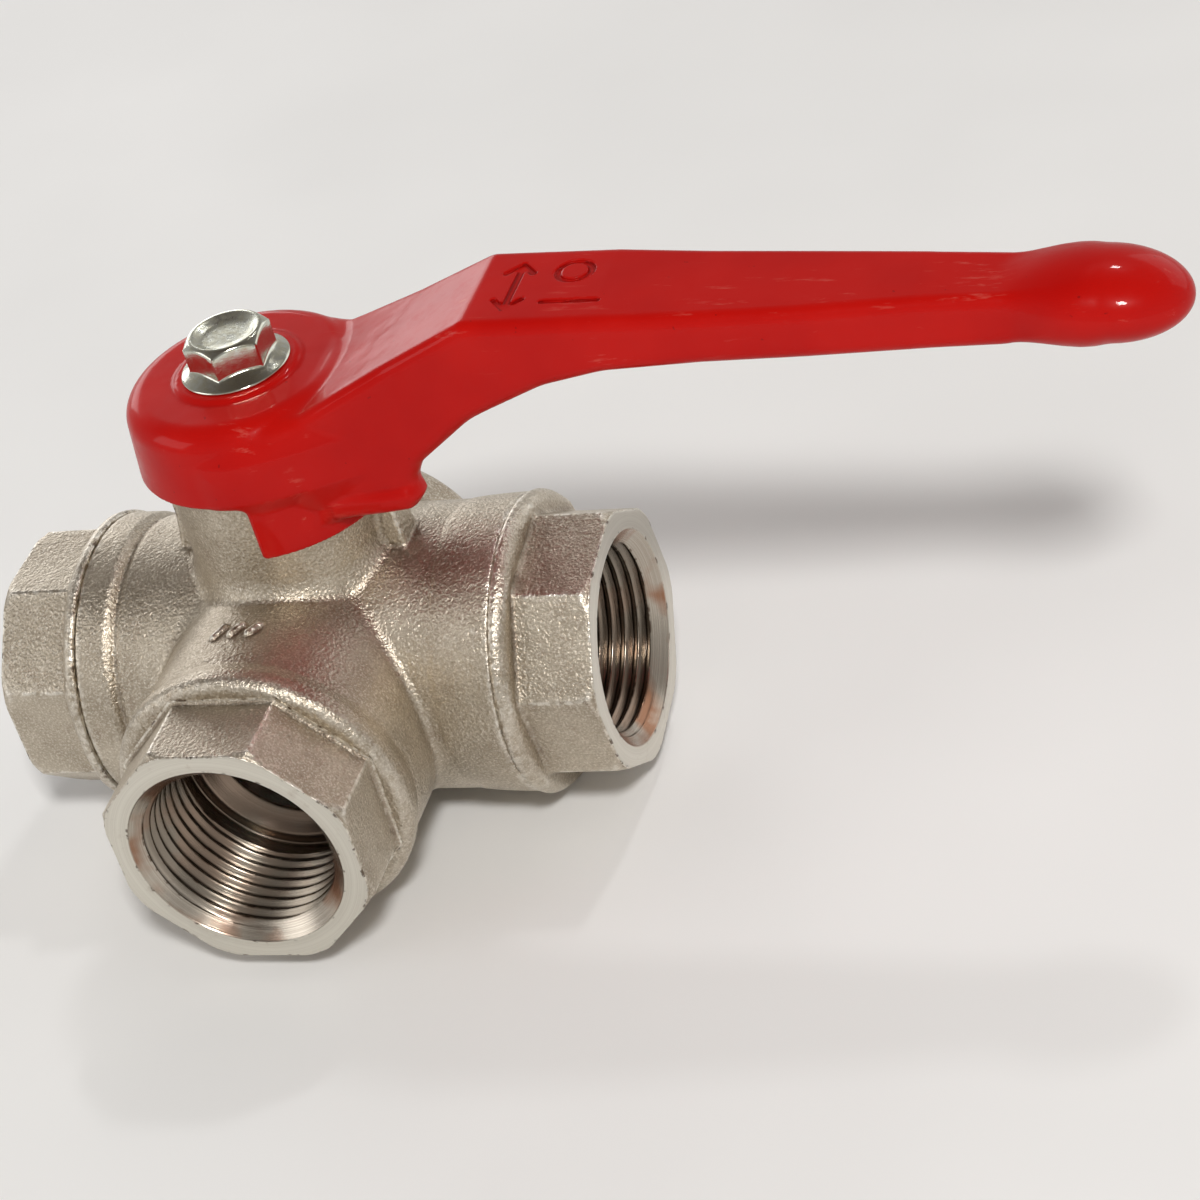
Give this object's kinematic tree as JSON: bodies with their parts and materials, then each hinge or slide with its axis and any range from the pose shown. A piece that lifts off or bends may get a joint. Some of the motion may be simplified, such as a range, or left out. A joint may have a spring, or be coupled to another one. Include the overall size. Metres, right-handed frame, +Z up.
{
  "type": "three-way ball valve",
  "caption": "Three-way ball valve with threaded octagonal ports, a closed back, an L-bored ball and a cranked quarter-turn lever held by a flange bolt.",
  "frame": {"origin": "centre of the ball, where the axes of the three ports and of the stem meet", "axes": "+X towards the right port and along the lever as pictured; -Y towards the front branch port; +Z up the stem"},
  "size_m": [0.161, 0.0635, 0.0737],
  "materials": {
    "nickel_brass": "nickel plated, sand-blasted casting with machined port faces",
    "bare_brass": "machined",
    "chrome_ball": "polished hard chrome on brass",
    "ptfe": "smooth PTFE",
    "seal_rubber": "satin",
    "red_lever": "gloss red enamel on a die casting",
    "zinc_bolt": "bright zinc plate"
  },
  "bodies": {
    "valve_body": {"body": "nickel_brass", "end_cap_left": "nickel_brass", "end_cap_right": "nickel_brass", "cap_seal_left": "ptfe", "cap_seal_right": "ptfe", "seat_left": "ptfe", "seat_right": "ptfe", "seat_front": "ptfe", "seat_rear": "ptfe", "thrust_washer": "ptfe", "packing_ring": "ptfe", "gland_nut": "bare_brass"},
    "rotor": {"ball": "chrome_ball", "stem": "bare_brass", "stem_oring_lower": "seal_rubber", "stem_oring_upper": "seal_rubber", "lever": "red_lever", "lever_bolt": "zinc_bolt"}
  },
  "joints": [
    {"name": "lever_turn", "type": "hinge", "parent": "valve_body", "child": "rotor", "pos_m": [0, 0, 0], "axis": [0, 0, 1], "range_deg": [-90, 0]}
  ]
}
